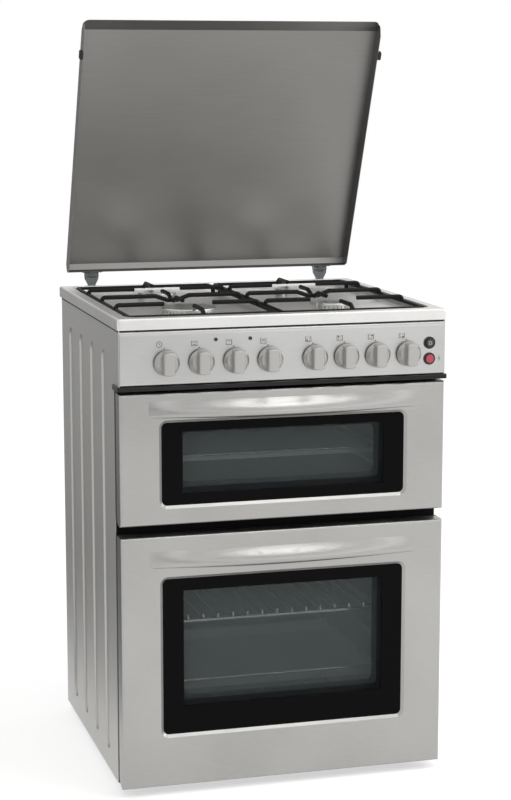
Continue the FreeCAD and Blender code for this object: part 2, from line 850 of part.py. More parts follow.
arms = makeDoor("lower", bottomZ, lowerDoorHeight, lowerGlassFoot, lowerGlassHead,
                lowerClearFoot, lowerHandleDrop)
arms += makeDoor("upper", upperFootZ, upperDoorHeight, upperGlassFoot, upperGlassHead,
                 upperClearFoot, upperHandleDrop)
save("door_hinge_arms", arms)


# control panel: folded sheet with a rounded top edge
def panelProfile(x0, x1, inset):
    r1 = panelTopRadius - inset
    r2 = panelBottomRadius - inset
    z0 = panelFootZ + inset
    z1 = panelTopZ - inset
    d0 = inset
    d1 = frameD + (inset and panelSheet)
    s1 = r1 - r1 * math.sqrt(0.5)
    s2 = r2 - r2 * math.sqrt(0.5)
    a = Part.Arc(at(x0, d0, z1 - r1), at(x0, d0 + s1, z1 - s1), at(x0, d0 + r1, z1)).toShape()
    b = Part.LineSegment(at(x0, d0 + r1, z1), at(x0, d1, z1)).toShape()
    e = Part.LineSegment(at(x0, d1, z1), at(x0, d1, z0)).toShape()
    f = Part.LineSegment(at(x0, d1, z0), at(x0, d0 + r2, z0)).toShape()
    g = Part.Arc(at(x0, d0 + r2, z0), at(x0, d0 + s2, z0 + s2), at(x0, d0, z0 + r2)).toShape()
    h = Part.LineSegment(at(x0, d0, z0 + r2), at(x0, d0, z1 - r1)).toShape()
    return Part.Face(Part.Wire([a, b, e, f, g, h])).extrude(FreeCAD.Vector(x1 - x0, 0, 0))


panel = panelProfile(-panelHalf, panelHalf, 0)
panel = panel.cut(panelProfile(-panelHalf + panelSheet, panelHalf - panelSheet, panelSheet))
barrelRadius = buttonRadius + slideClear + barrelWall
indicatorXs = [x + indicatorOffset for x in knobXs[1:-1]]
indicatorZ = panelTopZ - indicatorDrop
buttonZs = (panelTopZ - lightButtonDrop, panelTopZ - sparkButtonDrop)
lampBodyRadius = lampLensRadius - lampLensLip
holes = [barY(-panelSheet, 2 * panelSheet, x, knobZ, panelHole) for x in knobXs + tapXs]
holes += [barY(-panelSheet, 2 * panelSheet, buttonX, z, barrelRadius + seatClear) for z in buttonZs]
holes += [barY(-panelSheet, 2 * panelSheet, x, indicatorZ, lampBodyRadius + seatClear) for x in indicatorXs]
panel = panel.cut(Part.makeCompound(holes))
save("control_panel", [panel])

# black strip that turns oven air away from the panel
strip = box(-width / 2 - deflectorOver, width / 2 + deflectorOver, -deflectorLip, frameD,
            panelFootZ - deflectorTall, panelFootZ)
front = edgesAt(strip, lambda b: b.YMax < frontY - deflectorLip + edgeTol)
strip = strip.makeFillet(deflectorRound, front)
save("heat_deflector", [strip])

# oven controls behind the left knobs, with their shafts
controls = []
for x in knobXs:
    h = controlSide / 2
    body = box(x - h, x + h, panelSheet, panelSheet + controlDepth, knobZ - h, knobZ + h)
    body = body.makeFillet(controlCorner, edgesAt(body, lambda b: b.YLength > controlDepth - edgeTol))
    controls.append(join([body, barY(-spindleReach, panelSheet, x, knobZ, spindleRadius)]))
save("oven_controls", controls)

# gas taps on the rail behind the right knobs
tapBackD = railDepth - railRadius
taps = []
for x in tapXs:
    body = barY(panelSheet, tapBackD, x, knobZ, tapRadius)
    saddle = box(x - tapRadius, x + tapRadius, tapBackD - tapRadius, tapBackD,
                 knobZ - tapRadius, knobZ + tapRadius)
    bore = barY(0, panelSheet + spindleTail + tapPush + tapBoreEnd, x, knobZ, spindleRadius + runClear)
    taps.append(join([body, saddle]).cut(bore))
save("gas_taps", taps)
tapNames = ("front_left", "rear_left", "rear_right", "front_right")
for tapName, x in zip(tapNames, tapXs):
    save("spindle_" + tapName, [barY(-spindleReach, panelSheet + spindleTail, x, knobZ, spindleRadius)])


def makeKnob(x):
    # round skirt, sloped shoulder and a bar grip whose ends follow the round
    outD = -knobGap - knobSkirt
    forward = FreeCAD.Vector(0, -1, 0)
    skirt = barY(outD, -knobGap, x, knobZ, knobRadius)
    dome = Part.makeCone(knobRadius - knobRimFlat, knobDomeRadius, knobDome, at(x, outD, knobZ), forward)
    grip = Part.makeCone(knobGripFoot, knobGripTop, knobReach + outD, at(x, outD, knobZ), forward)
    hw = knobGripWidth / 2
    grip = grip.common(box(x - hw, x + hw, -knobReach, outD, knobZ - knobRadius, knobZ + knobRadius))
    tip = edgesAt(grip, lambda b: b.YMax < frontY - knobReach + edgeTol)
    grip = grip.makeFillet(knobGripRound, tip)
    bore = barY(-spindleReach - seatClear, 0, x, knobZ, spindleRadius + seatClear)
    return join([skirt, dome, grip]).cut(bore)


ovenKnobs = ("timer", "main_oven", "top_oven", "grill")
for knobName, x in zip(ovenKnobs, knobXs):
    save("knob_" + knobName, [makeKnob(x)])
for knobName, x in zip(tapNames, tapXs):
    save("knob_" + knobName, [makeKnob(x)])

# push buttons in snap-in switches
switches = []
for z in buttonZs:
    rim = barY(-bezelThick, 0, buttonX, z, bezelRadius)
    edge = edgesAt(rim, lambda b: b.YMax < frontY - bezelThick + edgeTol and b.XLength > bezelRadius)
    rim = rim.makeFillet(bezelRound, edge)
    barrel = barY(0, barrelLength, buttonX, z, barrelRadius)
    bore = barY(-2 * bezelThick, barrelLength - barrelWall, buttonX, z, buttonRadius + slideClear)
    switches.append(join([rim, barrel]).cut(bore))
save("push_switches", switches)
for buttonName, z in zip(("light", "spark"), buttonZs):
    cap = barY(-buttonReach, buttonTail, buttonX, z, buttonRadius)
    nose = edgesAt(cap, lambda b: b.YMax < frontY - buttonReach + edgeTol and b.XLength > buttonRadius)
    save(buttonName + "_button", [cap.makeFillet(buttonRound, nose)])

# two indicator lamps
indicators = []
for x in indicatorXs:
    lens = barY(-lampLensReach, 0, x, indicatorZ, lampLensRadius)
    nose = edgesAt(lens, lambda b: b.YMax < frontY - lampLensReach + edgeTol and b.XLength > lampLensRadius)
    lens = lens.makeFillet(lampLensRound, nose)
    indicators.append(join([lens, barY(0, lampBodyLength, x, indicatorZ, lampBodyRadius)]))
save("indicator_lamps", indicators)

# hob: pressed steel spill tray with a raised rim
burners = {"front_left": (-burnerX, frontBurner, rapidRadius),
           "rear_left": (-burnerX, rearBurner, semiRadius),
           "rear_right": (burnerX, rearBurner, semiRadius),
           "front_right": (burnerX, frontBurner, auxRadius)}


def recess(grow, foot):
    w = width / 2 - hobRimWidth + grow
    s = hobRecessSlope
    low = planRing(-w + s, w - s, hobRimWidth + s - grow, bodyDepth - hobRimWidth - s + grow,
                   hobRecessCorner - s + grow, foot)
    high = planRing(-w, w, hobRimWidth - grow, bodyDepth - hobRimWidth + grow,
                    hobRecessCorner + grow, hobTopZ)
    return Part.makeLoft([low, high], True, True)


hob = planBlock(-width / 2, width / 2, 0, bodyDepth, hobCorner, panelTopZ, hobTopZ)
hob = hob.makeFillet(hobEdge, edgesAt(hob, lambda b: b.ZMin > hobTopZ - edgeTol))
t = hobSheet
void = planBlock(-width / 2 + t, width / 2 - t, t, bodyDepth - t, hobCorner - t,
                 panelTopZ - t, hobTopZ - t)
void = void.makeFillet(hobEdge - t, edgesAt(void, lambda b: b.ZMin > hobTopZ - t - edgeTol))
hob = hob.cut(recess(0, hobFloorZ))
hob = hob.cut(void.cut(recess(t, hobFloorZ - t)))
cups = []
crowns = []
caps = []
electrodes = []
for x, d, radius in burners.values():
    spigot = radius - spigotInset
    hob = hob.cut(barZ(hobFloorZ - 2 * t, hobFloorZ + t, x, d, spigot + runClear))
    cup = join([barZ(hobFloorZ - t - cupDepth, hobFloorZ - t, x, d, spigot + cupFlange),
                barZ(hobFloorZ - t, hobFloorZ + spigotRise, x, d, spigot)])
    crownTop = hobFloorZ + crownTall
    crown = barZ(hobFloorZ, crownTop, x, d, radius)
    crown = crown.cut(barZ(hobFloorZ, hobFloorZ + spigotRise + seatClear, x, d, spigot + runClear))
    ports = []
    portCount = int(2 * math.pi * radius / portPitch)
    for i in range(portCount):
        port = box(x + radius - crownPortDepth, x + radius + crownPort, d - crownPort / 2,
                   d + crownPort / 2, crownTop - crownPortTall, crownTop + crownPort)
        port.rotate(at(x, d, 0), FreeCAD.Vector(0, 0, 1), 360.0 * i / portCount)
        ports.append(port)
    crown = crown.cut(Part.makeCompound(ports))
    cap = barZ(crownTop, crownTop + capTall, x, d, radius + capOver)
    edge = edgesAt(cap, lambda b: b.ZMin > crownTop + capTall - edgeTol and b.XLength > radius)
    cap = cap.makeFillet(capRound, edge)
    side = -1 if x > 0 else 1
    depth = 1 if d < bodyDepth / 2 else -1
    offset = (radius + capOver + electrodeGap) * math.sqrt(0.5)
    ex = x + side * offset
    ed = d + depth * offset
    hob = hob.cut(barZ(hobFloorZ - 2 * t, hobFloorZ + t, ex, ed, electrodeRadius + electrodeClear))
    electrodes.append(barZ(hobFloorZ - electrodeTail, hobFloorZ + electrodeTall, ex, ed, electrodeRadius))
    cups.append(cup)
    crowns.append(crown)
    caps.append(cap)
save("hob_top", [hob])
save("burner_cups", cups)
save("burner_crowns", crowns)
save("burner_caps", caps)
save("spark_electrodes", electrodes)

# gas rail, inlet and one pipe from each tap to its burner cup
inletD = backD + cabinetSheet
railPath = [at(tapXs[0] - railEnd, railDepth, knobZ), at(inletX, railDepth, knobZ),
            at(inletX, inletD, knobZ)]
rail = rod(railPath, railRadius, railBend)
inlet = barY(inletD, inletD + inletReach, inletX, knobZ, inletThread)
pipes = [join([rail, inlet])]
cupFootZ = hobFloorZ - hobSheet - cupDepth
for i, tapName in enumerate(tapNames):
    x, d, radius = burners[tapName]
    z = cupFootZ - (lowPipeDrop if i % 2 == 0 else highPipeDrop)
    start = at(tapXs[i], pipeStart, knobZ + tapRadius)
    path = [start, at(tapXs[i], pipeStart, z), at(tapXs[i], d, z), at(x, d, z), at(x, d, cupFootZ)]
    pipes.append(rod(path, pipeRadius, pipeBend))
save("gas_pipework", pipes)

# pan supports: enamelled rods, a low frame and raised fingers
gridZ = hobFloorZ + railRise + railRod
topZ = hobTopZ + fingerTop - fingerRod
gridInner = gridGap / 2
gridOuter = width / 2 - hobRimWidth - hobRecessSlope - gridSide
gridBack = bodyDepth - gridFront
grid = []
cornersD = (gridFront, gridBack)
cornersX = (gridInner, gridOuter)
for d in cornersD:
    grid.append(barX(gridInner, gridOuter, d, gridZ, railRod))
for x in cornersX:
    grid.append(barY(gridFront, gridBack, x, gridZ, railRod))
    for d in cornersD:
        grid.append(Part.makeSphere(railRod, at(x, d, gridZ)))
    for d in (gridFront + gridFootInset, gridBack - gridFootInset):
        grid.append(barZ(hobFloorZ + slideClear, gridZ, x, d, gridFootRadius))
for d in (frontBurner, rearBurner):
    for x, s in ((gridInner, 1), (gridOuter, -1)):
        path = [at(x, d, gridZ), at(x, d, topZ), at(burnerX - s * fingerTip, d, topZ)]
        grid.append(rod(path, fingerRod, rodBend))
midD = bodyDepth / 2
dipZ = topZ - crossDip
dipOut = crossDipHalf + crossDipRun
path = [at(gridInner, midD, gridZ), at(gridInner, midD, topZ), at(burnerX - dipOut, midD, topZ),
        at(burnerX - crossDipHalf, midD, dipZ), at(burnerX + crossDipHalf, midD, dipZ),
        at(burnerX + dipOut, midD, topZ), at(gridOuter, midD, topZ), at(gridOuter, midD, gridZ)]
grid.append(rod(path, fingerRod, rodBend))
path = [at(burnerX, frontBurner + fingerTip, topZ), at(burnerX, midD - dipOut, topZ),
        at(burnerX, midD - crossDipHalf, dipZ), at(burnerX, midD + crossDipHalf, dipZ),
        at(burnerX, midD + dipOut, topZ), at(burnerX, rearBurner - fingerTip, topZ)]
grid.append(rod(path, fingerRod, rodBend))
for d, tip in ((gridFront, frontBurner - fingerTip), (gridBack, rearBurner + fingerTip)):
    way = 1 if tip > d else -1
    path = [at(burnerX, d, gridZ), at(burnerX, d + way * fingerRun, topZ), at(burnerX, tip, topZ)]
    grid.append(rod(path, fingerRod, rodBend))
support = join(grid)
save("pan_support_right", [support])
save("pan_support_left", [mirrorX(support)])

# lid, drawn closed and then turned up about its hinge
hingeZ = hobTopZ + hingeRise
lidTopZ = hingeZ + lidTopRise
lipRun = lidLip * math.cos(math.radians(lidLipAngle))
lipDrop = lidLip * math.sin(math.radians(lidLipAngle))
bendD = lidFrontInset + lipRun
t = lidSheet
k = t * math.tan(math.radians(lidLipAngle / 2))
j = lidRearBend + t * math.tan(math.radians(45 / 2))
taper = lidFlange - lidRearFlange
lipIn = (t * math.sin(math.radians(lidLipAngle)), t * math.cos(math.radians(lidLipAngle)))
sheet = [(lidBackD, lidTopZ - lidRearFlange), (lidBackD, lidTopZ - lidRearBend),
         (lidBackD - lidRearBend, lidTopZ), (bendD, lidTopZ),
         (bendD - lipRun, lidTopZ - lipDrop), (bendD - lipRun + lipIn[0], lidTopZ - lipDrop - lipIn[1]),
         (bendD + k, lidTopZ - t), (lidBackD - j, lidTopZ - t), (lidBackD - t, lidTopZ - j),
         (lidBackD - t, lidTopZ - lidRearFlange)]
lid = [sideBlock(-lidHalf, lidHalf, sheet)]
cheek = [(lidBackD - taper, lidTopZ - lidFlange), (lidBackD, lidTopZ - lidRearFlange),
         (lidBackD, lidTopZ - lidRearBend), (lidBackD - lidRearBend, lidTopZ), (bendD, lidTopZ),
         (bendD - lipRun, lidTopZ - lipDrop), (bendD - lipRun, lidTopZ - lipDrop - t),
         (bendD, lidTopZ - lidFlange)]
for x in (-lidHalf, lidHalf - t):
    lid.append(sideBlock(x, x + t, cheek))
lid = join(lid)
rounded = planBlock(-lidHalf, lidHalf, lidFrontInset, lidBackD + lidCorner, lidCorner,
                    lidTopZ - width, lidTopZ + width)
lid = lid.common(rounded)
leaves = []
posts = []
bumpers = []
earSpan = lidEyeWidth / 2 + lidEarGap
for x in (-lidHingeX, lidHingeX):
    plate = box(x - lidLeafHalf, x + lidLeafHalf, lidBackD, lidBackD + lidLeafThick,
                hingeZ - lidEyeRadius, lidTopZ - lidRearBend)
    pinHalf = earSpan + lidEarWidth
    h = lidEyeWidth / 2
    knuckle = box(x - h, x + h, lidBackD, hingeDepth, hingeZ - lidEyeRadius, hingeZ + lidEyeRadius)
    leaves.append(join([plate, knuckle, barX(x - h, x + h, hingeDepth, hingeZ, lidEyeRadius),
                        barX(x - pinHalf, x + pinHalf, hingeDepth, hingeZ, lidPinRadius)]))
    # post that widens from its foot to a fork for the knuckle
    stemD = hingeDepth - lidStemDepth / 2
    stemFoot = lidStemFoot / 2
    shoulderZ = hingeZ - lidEyeRadius - lidStemShoulder
    outline = [at(x - stemFoot, stemD, hobTopZ), at(x + stemFoot, stemD, hobTopZ),
               at(x + pinHalf, stemD, shoulderZ), at(x + pinHalf, stemD, hingeZ),
               at(x - pinHalf, stemD, hingeZ), at(x - pinHalf, stemD, shoulderZ)]
    stem = Part.Face(Part.makePolygon(outline + outline[:1])).extrude(FreeCAD.Vector(0, lidStemDepth, 0))
    fork = join([stem, barX(x - pinHalf, x + pinHalf, hingeDepth, hingeZ, lidEyeRadius)])
    slot = box(x - earSpan, x + earSpan, hingeDepth - 2 * lidEyeRadius, hingeDepth + 2 * lidEyeRadius,
               hingeZ - lidEyeRadius - lidEarGap, hingeZ + 2 * lidEyeRadius)
    bore = barX(x - 2 * pinHalf, x + 2 * pinHalf, hingeDepth, hingeZ, lidPinRadius + runClear)
    posts.append(fork.cut(slot).cut(bore))
bumperD = lidFrontInset + bumperSetback
bumperFoot = hobTopZ + bumperClear
bumperTop = lidTopZ - lidFlange + bumperRise
for x in (-lidHalf - bumperOut, lidHalf):
    block = box(x, x + bumperOut, bumperD, bumperD + bumperLong, bumperFoot, bumperTop)
    corners = edgesAt(block, lambda b: b.XLength > bumperOut - edgeTol)
    bumpers.append(block.makeFillet(bumperRound, corners))


def raiseLid(shape):
    turned = shape.copy()
    turned.rotate(at(0, hingeDepth, hingeZ), FreeCAD.Vector(1, 0, 0), -lidOpen)
    return turned


save("lid_panel", [raiseLid(lid)])
save("lid_hinge_leaves", [raiseLid(s) for s in leaves])
save("lid_bumpers", [raiseLid(s) for s in bumpers])
save("lid_hinge_posts", posts)

# terminal box on the back panel and spark generator inside it
outD = backD + cabinetSheet
boxFoot = bottomZ + terminalRise
terminal = box(terminalX - terminalWide / 2, terminalX + terminalWide / 2, outD, outD + terminalDepth,
               boxFoot, boxFoot + terminalTall)
gland = barZ(boxFoot - glandLength, boxFoot, terminalX, outD + terminalDepth / 2, glandRadius)
terminal = join([terminal, gland])
sparkTop = panelTopZ - sparkBoxDrop + sparkBoxTall
spark = box(sparkBoxX - sparkBoxWide / 2, sparkBoxX + sparkBoxWide / 2, backD - sparkBoxDepth, backD,
            sparkTop - sparkBoxTall, sparkTop)
save("electric_boxes", [terminal, spark])
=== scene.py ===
import math

import bmesh
import bpy
from mathutils import Matrix, Vector


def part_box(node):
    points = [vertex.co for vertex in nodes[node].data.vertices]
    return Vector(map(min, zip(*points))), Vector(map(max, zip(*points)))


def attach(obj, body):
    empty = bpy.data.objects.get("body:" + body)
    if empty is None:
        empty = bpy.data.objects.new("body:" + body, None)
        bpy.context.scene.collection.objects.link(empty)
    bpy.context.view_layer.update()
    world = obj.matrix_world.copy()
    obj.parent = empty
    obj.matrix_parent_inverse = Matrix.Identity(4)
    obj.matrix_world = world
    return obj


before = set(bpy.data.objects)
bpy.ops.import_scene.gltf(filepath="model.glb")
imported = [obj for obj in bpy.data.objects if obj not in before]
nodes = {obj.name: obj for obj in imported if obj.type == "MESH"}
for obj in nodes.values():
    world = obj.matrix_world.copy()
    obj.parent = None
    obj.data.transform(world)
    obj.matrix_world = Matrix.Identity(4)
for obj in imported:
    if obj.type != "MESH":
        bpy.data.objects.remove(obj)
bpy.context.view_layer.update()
scene = bpy.context.scene
quarter = math.pi / 2
print("frame loaded:", len(nodes), "nodes")


def hexColour(text):
    # sRGB hex to the linear values that shaders take
    parts = [int(text[i:i + 2], 16) / 255 for i in (1, 3, 5)]
    return [p / 12.92 if p <= 0.04045 else ((p + 0.055) / 1.055) ** 2.4 for p in parts] + [1]


def perMetre(millimetres):
    # pattern scale from the real size of its grain
    return 1000 / millimetres


def wire(mat, node, inputs):
    for key, value in inputs.items():
        if isinstance(value, bpy.types.NodeSocket):
            mat.node_tree.links.new(value, node.inputs[key])
        else:
            node.inputs[key].default_value = value


def addNode(mat, kind, inputs, **settings):
    node = mat.node_tree.nodes.new(kind)
    for key, value in settings.items():
        setattr(node, key, value)
    wire(mat, node, inputs)
    return node.outputs


def objectPlace(mat):
    return addNode(mat, "ShaderNodeTexCoord", {})["Object"]


def noise(mat, where, scale, detail=2, roughness=0.5):
    return addNode(mat, "ShaderNodeTexNoise", {"Vector": where, "Scale": scale, "Detail": detail,
                                               "Roughness": roughness})[0]


def calc(mat, operation, *values):
    return addNode(mat, "ShaderNodeMath", dict(enumerate(values)), operation=operation)[0]


def remap(mat, value, span, target=(0, 1)):
    return addNode(mat, "ShaderNodeMapRange", {"Value": value, "From Min": span[0], "From Max": span[1],
                                               "To Min": target[0], "To Max": target[1]})[0]


def blend(mat, share, first, second):
    return addNode(mat, "ShaderNodeMix", {0: share, 6: hexColour(first), 7: hexColour(second)},
                   data_type="RGBA")[2]


def bumpFrom(mat, height, strength, depth):
    return addNode(mat, "ShaderNodeBump", {"Height": height, "Strength": strength, "Distance": depth})[0]


def newFinish(name):
    mat = bpy.data.materials.new(name)
    mat.use_nodes = True
    return mat, mat.node_tree.nodes["Principled BSDF"]


def dress(mat, *names):
    for name in names:
        nodes[name].data.materials.clear()
        nodes[name].data.materials.append(mat)


# what all brushed sheets share
brushing = {"detail": 4, "softness": 0.65, "tone": (0.72, 1.28), "streak": (0.3, 0.7), "vary": 0.05,
            "depth": 0.00005}


def brushedSteel(name, look):
    # stainless sheet, belt brushed: long fine streaks that tint, roughen and score the metal
    mat, face = newFinish(name)
    where = objectPlace(mat)
    scales = [perMetre(size) for size in look["grain"]]
    across = addNode(mat, "ShaderNodeMapping", {"Vector": where, "Scale": scales})["Vector"]
    streak = noise(mat, across, 1, brushing["detail"], brushing["softness"])
    broad = noise(mat, where, perMetre(look["cloud"]))
    tone = remap(mat, calc(mat, "ADD", streak, broad), brushing["tone"])
    rough = remap(mat, streak, brushing["streak"],
                  (look["rough"] - brushing["vary"], look["rough"] + brushing["vary"]))
    wire(mat, face, {"Base Color": blend(mat, tone, look["dark"], look["light"]), "Metallic": 1,
                     "Roughness": rough, "Normal": bumpFrom(mat, streak, look["score"], brushing["depth"]),
                     "Anisotropic": look["anisotropic"]})
    return mat


# streaks drawn coarser than the real 0.1 mm so that they show
doorSteel = {"light": "#AEADAB", "dark": "#A4A3A1", "grain": (22, 22, 2), "cloud": 160, "rough": 0.36,
             "score": 0.25, "anisotropic": 0.3}
# painted light: the panel's steel is toned lighter than the doors' for the light that falls on it from above
panelSteelPaintedLight = {"light": "#C0C0BF", "dark": "#B6B6B5", "grain": (30, 30, 1.8), "cloud": 200, "rough": 0.36,
              "score": 0.15, "anisotropic": 0.3}
# painted shade: the lid's steel is toned darker than the doors' because its face turns down, away from the
# light
lidSteelPaintedShade = {"light": "#8A8987", "dark": "#807F7D", "grain": (60, 3, 3), "cloud": 300, "rough": 0.42,
            "score": 0.08, "anisotropic": 0.2}
# painted light: the hob's steel is toned lighter than the doors' for the light that falls on its top
hobSteelPaintedLight = {"light": "#DEDDDB", "dark": "#D4D3D1", "grain": (9, 9, 9), "cloud": 120, "rough": 0.46,
            "score": 0.05, "anisotropic": 0}
dress(brushedSteel("brushed stainless doors", doorSteel), "lower_door_skin", "upper_door_skin")
dress(brushedSteel("brushed stainless panel with painted light", panelSteelPaintedLight), "control_panel")
dress(brushedSteel("satin stainless lid with painted shade", lidSteelPaintedShade), "lid_panel")
dress(brushedSteel("stainless hob with painted light", hobSteelPaintedLight), "hob_top")
print("brushed steel on")

# what all grained finishes share
graining = {"detail": 3, "tone": (0.35, 0.65), "grain": (0.3, 0.7), "depth": 0.0001, "coatRough": 0.08,
            "shine": 0.5}


def grained(name, look):
    # one paint, plastic, enamel or casting: a fine grain that shades, roughens and lifts the surface
    mat, face = newFinish(name)
    grain = noise(mat, objectPlace(mat), perMetre(look["grain"]), graining["detail"])
    spread = remap(mat, grain, graining["tone"])
    rough = remap(mat, grain, graining["grain"], (look["rough"] - look["vary"], look["rough"] + look["vary"]))
    wire(mat, face, {"Base Color": blend(mat, spread, look["dark"], look["light"]), "Metallic": look["metal"],
                     "Roughness": rough, "Normal": bumpFrom(mat, grain, look["lift"], graining["depth"]),
                     "Coat Weight": look["coat"], "Coat Roughness": graining["coatRough"],
                     "Specular IOR Level": look.get("shine", graining["shine"])})
    return mat


finishes = {
    "silver lacquer on sheet": {"light": "#C6C5C2", "dark": "#BDBCB9", "grain": 1.6, "rough": 0.4,
                                "vary": 0.05, "lift": 0.15, "metal": 0.55, "coat": 0},
    "silver lacquered ABS": {"light": "#BDBBB8", "dark": "#B4B2AF", "grain": 1.2, "rough": 0.36,
                             "vary": 0.04, "lift": 0.05, "metal": 0.5, "coat": 0.1},
    "black vitreous enamel": {"light": "#151515", "dark": "#101010", "grain": 2.5, "rough": 0.5,
                              "vary": 0.08, "lift": 0.3, "metal": 0, "coat": 0, "shine": 0.2},
    "black satin enamel": {"light": "#0D0D0E", "dark": "#0A0A0B", "grain": 6, "rough": 0.6, "vary": 0.05,
                           "lift": 0.05, "metal": 0, "coat": 0, "shine": 0.1},
    "dark grey enamel": {"light": "#33343A", "dark": "#2C2D32", "grain": 6, "rough": 0.5, "vary": 0.05,
                         "lift": 0.05, "metal": 0, "coat": 0, "shine": 0.2},
    "black gloss enamel": {"light": "#0D0D0D", "dark": "#0A0A0A", "grain": 14, "rough": 0.12, "vary": 0.03,
                           "lift": 0.2, "metal": 0, "coat": 0, "shine": 0.35},
    "die-cast aluminium": {"light": "#CACBC9", "dark": "#BFC0BE", "grain": 1.4, "rough": 0.42, "vary": 0.05,
                           "lift": 0.1, "metal": 0.8, "coat": 0},
    "turned aluminium": {"light": "#D6D7D4", "dark": "#CCCDCA", "grain": 3, "rough": 0.3, "vary": 0.05,
                         "lift": 0.05, "metal": 1, "coat": 0},
    "satin chrome wire": {"light": "#E6E8E8", "dark": "#DCDEDE", "grain": 6, "rough": 0.35, "vary": 0.04,
                          "lift": 0.05, "metal": 0.86, "coat": 0},
    "bright chrome bar": {"light": "#FAFAFA", "dark": "#F4F4F4", "grain": 6, "rough": 0.1, "vary": 0.02,
                          "lift": 0.02, "metal": 1, "coat": 0},
    "aluminised tray": {"light": "#F4F7F7", "dark": "#EAEDED", "grain": 3, "rough": 0.4, "vary": 0.05,
                        "lift": 0.1, "metal": 0.3, "coat": 0},
    "dull steel tube": {"light": "#8E8E8B", "dark": "#787875", "grain": 2, "rough": 0.45, "vary": 0.08,
                        "lift": 0.2, "metal": 1, "coat": 0},
    "heat tinted sheath": {"light": "#5B5048", "dark": "#3B3734", "grain": 9, "rough": 0.55, "vary": 0.1,
                           "lift": 0.3, "metal": 0.7, "coat": 0},
    "machined brass": {"light": "#C2A05C", "dark": "#AD8B48", "grain": 1.5, "rough": 0.3, "vary": 0.06,
                       "lift": 0.1, "metal": 1, "coat": 0},
    "glazed ceramic": {"light": "#EEEBE4", "dark": "#E2DED5", "grain": 1, "rough": 0.35, "vary": 0.05,
                       "lift": 0.1, "metal": 0, "coat": 0.2},
    "moulded black ABS": {"light": "#1D1E1F", "dark": "#151617", "grain": 0.8, "rough": 0.5, "vary": 0.08,
                          "lift": 0.4, "metal": 0, "coat": 0},
    "gloss black ABS": {"light": "#161617", "dark": "#101011", "grain": 2, "rough": 0.18, "vary": 0.03,
                        "lift": 0.1, "metal": 0, "coat": 0.3},
    "red tinted ABS": {"light": "#D24A5B", "dark": "#C43B4D", "grain": 2, "rough": 0.2, "vary": 0.03,
                       "lift": 0.1, "metal": 0, "coat": 0.4},
    "dark red lens": {"light": "#4A1517", "dark": "#3A0F11", "grain": 1, "rough": 0.15, "vary": 0.03,
                      "lift": 0.1, "metal": 0, "coat": 0.4},
    "black nitrile rubber": {"light": "#262626", "dark": "#1B1B1B", "grain": 0.9, "rough": 0.75,
                             "vary": 0.08, "lift": 0.5, "metal": 0, "coat": 0},
    "woven glass fibre seal": {"light": "#4A4845", "dark": "#2E2C2A", "grain": 1.8, "rough": 0.9,
                               "vary": 0.05, "lift": 0.8, "metal": 0, "coat": 0},
    "mineral wool": {"light": "#D9CB98", "dark": "#B9A768", "grain": 4, "rough": 0.95, "vary": 0.04,
                     "lift": 1, "metal": 0, "coat": 0},
    "grey hinge paint": {"light": "#7A8082", "dark": "#6B7173", "grain": 1.2, "rough": 0.4, "vary": 0.06,
                         "lift": 0.2, "metal": 0.5, "coat": 0},
    "dark screen ink": {"light": "#363637", "dark": "#2B2B2C", "grain": 0.7, "rough": 0.6, "vary": 0.05,
                        "lift": 0.1, "metal": 0, "coat": 0},
    "white screen ink": {"light": "#E2E2E0", "dark": "#D4D4D2", "grain": 0.7, "rough": 0.6, "vary": 0.05,
                         "lift": 0.1, "metal": 0, "coat": 0},
    "nickelled steel": {"light": "#B7B4AE", "dark": "#A29F99", "grain": 0.9, "rough": 0.3, "vary": 0.06,
                        "lift": 0.1, "metal": 1, "coat": 0},
}
made = {name: grained(name, look) for name, look in finishes.items()}
knobNames = [n for n in nodes if n.startswith("knob_")]
spindleNames = [n for n in nodes if n.startswith("spindle_")]
dress(made["silver lacquer on sheet"], "side_panel_left", "side_panel_right")
dress(made["silver lacquered ABS"], *knobNames)
dress(made["black vitreous enamel"], "pan_support_left", "pan_support_right")
dress(made["black satin enamel"], "front_frame")
dress(made["dark grey enamel"], "lower_door_liner", "upper_door_liner")
dress(made["black gloss enamel"], "heat_deflector")
dress(made["die-cast aluminium"], "burner_cups", "burner_crowns")
dress(made["turned aluminium"], "burner_caps")
dress(made["satin chrome wire"], "lower_shelf", "shelf_runners")
dress(made["aluminised tray"], "oven_trays")
dress(made["dull steel tube"], "gas_pipework")
dress(made["heat tinted sheath"], "heating_elements")
dress(made["machined brass"], "gas_taps", *spindleNames)
dress(made["glazed ceramic"], "spark_electrodes")
dress(made["moulded black ABS"], "oven_controls", "electric_boxes", "push_switches", "levelling_feet")
dress(made["gloss black ABS"], "light_button")
dress(made["red tinted ABS"], "spark_button")
dress(made["dark red lens"], "indicator_lamps")
dress(made["black nitrile rubber"], "lid_bumpers")
dress(made["woven glass fibre seal"], "door_seals")
dress(made["mineral wool"], "cavity_insulation")
dress(made["grey hinge paint"], "lid_hinge_posts", "lid_hinge_leaves")
print("plain finishes on")


def spangledZinc(look):
    # hot-dip galvanised sheet: flat crystals, each with its own tone
    mat, face = newFinish("galvanised sheet")
    cell = addNode(mat, "ShaderNodeTexVoronoi", {"Vector": objectPlace(mat),
                                                 "Scale": perMetre(look["spangle"])})["Color"]
    grey = addNode(mat, "ShaderNodeSeparateColor", {"Color": cell})[0]
    wire(mat, face, {"Base Color": blend(mat, grey, look["dark"], look["light"]), "Metallic": 1,
                     "Roughness": remap(mat, grey, (0, 1), look["rough"])})
    return mat


zincLook = {"light": "#B9BCBD", "dark": "#9DA0A2", "spangle": 11, "rough": (0.36, 0.5)}
dress(spangledZinc(zincLook), "back_panel", "base_tray", "door_hinge_arms", "lower_door_hinges",
      "upper_door_hinges", "cabinet_screws")


